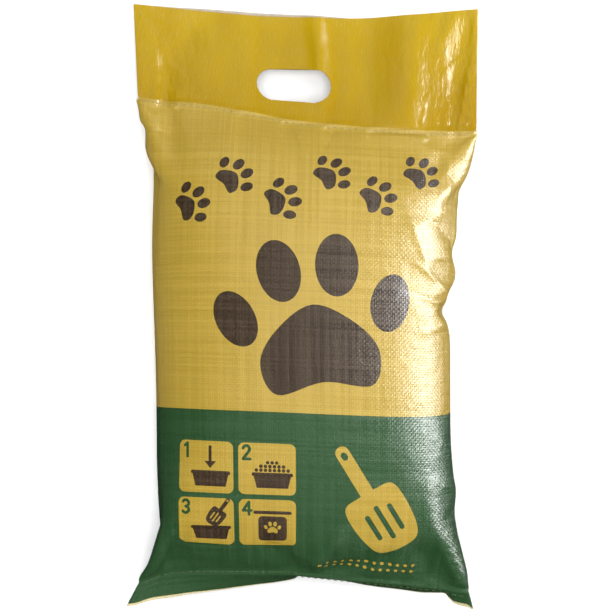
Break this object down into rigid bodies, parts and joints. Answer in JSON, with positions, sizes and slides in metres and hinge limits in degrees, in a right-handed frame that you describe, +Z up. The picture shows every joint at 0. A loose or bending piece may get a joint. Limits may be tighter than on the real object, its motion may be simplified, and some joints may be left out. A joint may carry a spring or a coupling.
{
  "type": "cat litter bag",
  "caption": "Filled cat litter bag of woven plastic cloth, stitched across its bottom and mouth, with a plain film carry header that has a hand slot. It lies on its back.",
  "frame": {"origin": "centre of the bounding box's underside, on the surface that the bag lies on", "axes": "+Z up, out of the bag's printed front; +Y along the bag towards its mouth and carry header; +X to the right as seen from the front"},
  "size_m": [0.35, 0.607, 0.113],
  "materials": {
    "woven_sack": "matte printed woven plastic cloth, ochre yellow above and green below",
    "header_film": "glossy golden yellow film",
    "thread": "cream sewing thread"
  },
  "bodies": {
    "root": {"filled_sack": "woven_sack", "header_film": "header_film", "mouth_stitching": "thread", "bottom_stitching": "thread"}
  },
  "joints": []
}
